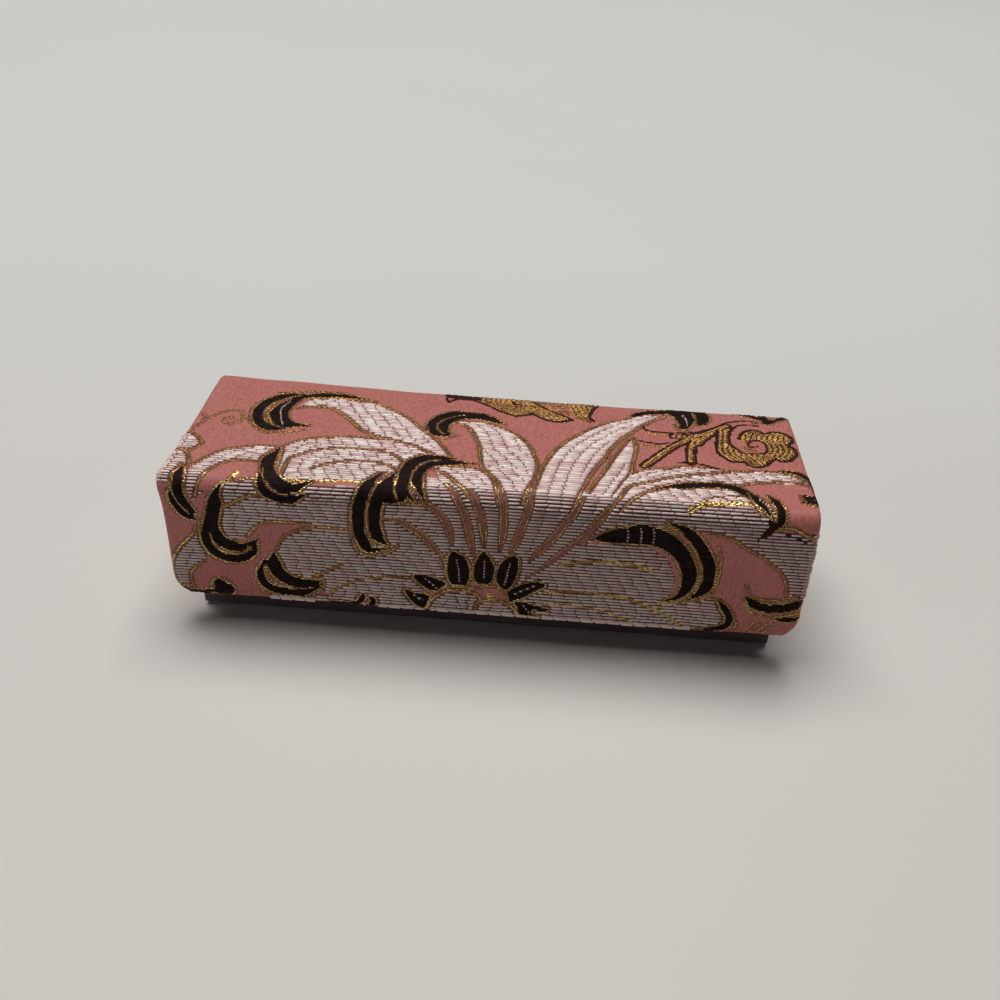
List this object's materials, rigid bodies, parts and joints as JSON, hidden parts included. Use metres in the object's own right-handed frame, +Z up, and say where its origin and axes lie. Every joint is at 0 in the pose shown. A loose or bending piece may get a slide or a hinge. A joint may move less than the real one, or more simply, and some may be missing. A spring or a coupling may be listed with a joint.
{
  "type": "lidded brocade case",
  "caption": "Small oblong case in silk brocade with a lid and front flap on a cloth hinge, a lined tray and a mirror inside the lid.",
  "frame": {"origin": "centre of the closed case's footprint box, on the surface it stands on", "axes": "+X along the case to the right as seen from the flap, +Y from the flap to the hinge, +Z up"},
  "size_m": [0.09, 0.0298, 0.0245],
  "materials": {
    "brocade": "woven silk brocade, pink satin ground with pale, black and gold figures",
    "dark_satin": "plain dark satin",
    "greyboard": "matt pressed paper board",
    "black_card": "matt card, black on its face",
    "mirror_glass": "silvered glass",
    "nickel_magnet": "nickel plating",
    "keeper_steel": "plain sheet steel"
  },
  "bodies": {
    "tray": {"bottom_board": "greyboard", "back_board": "greyboard", "front_board": "greyboard", "left_board": "greyboard", "right_board": "greyboard", "back_brocade": "brocade", "bottom_brocade": "brocade", "left_brocade": "brocade", "right_brocade": "brocade", "front_satin": "dark_satin", "floor_lining": "dark_satin", "front_lining": "dark_satin", "back_lining": "dark_satin", "left_lining": "dark_satin", "right_lining": "dark_satin", "keeper_plates": "keeper_steel", "hinge_brocade": "brocade", "hinge_lining": "dark_satin"},
    "lid": {"lid_shell": "greyboard", "lid_brocade": "brocade", "levelling_card": "black_card", "mirror_glass": "mirror_glass", "mirror_frame": "dark_satin", "flap_lining": "dark_satin", "flap_magnets": "nickel_magnet"}
  },
  "joints": [
    {"name": "lid_hinge", "type": "hinge", "parent": "tray", "child": "lid", "pos_m": [0, 0.0149, 0.02243], "axis": [-1, 0, 0], "range_deg": [0, 110], "deforming": ["hinge_brocade", "hinge_lining"]}
  ]
}
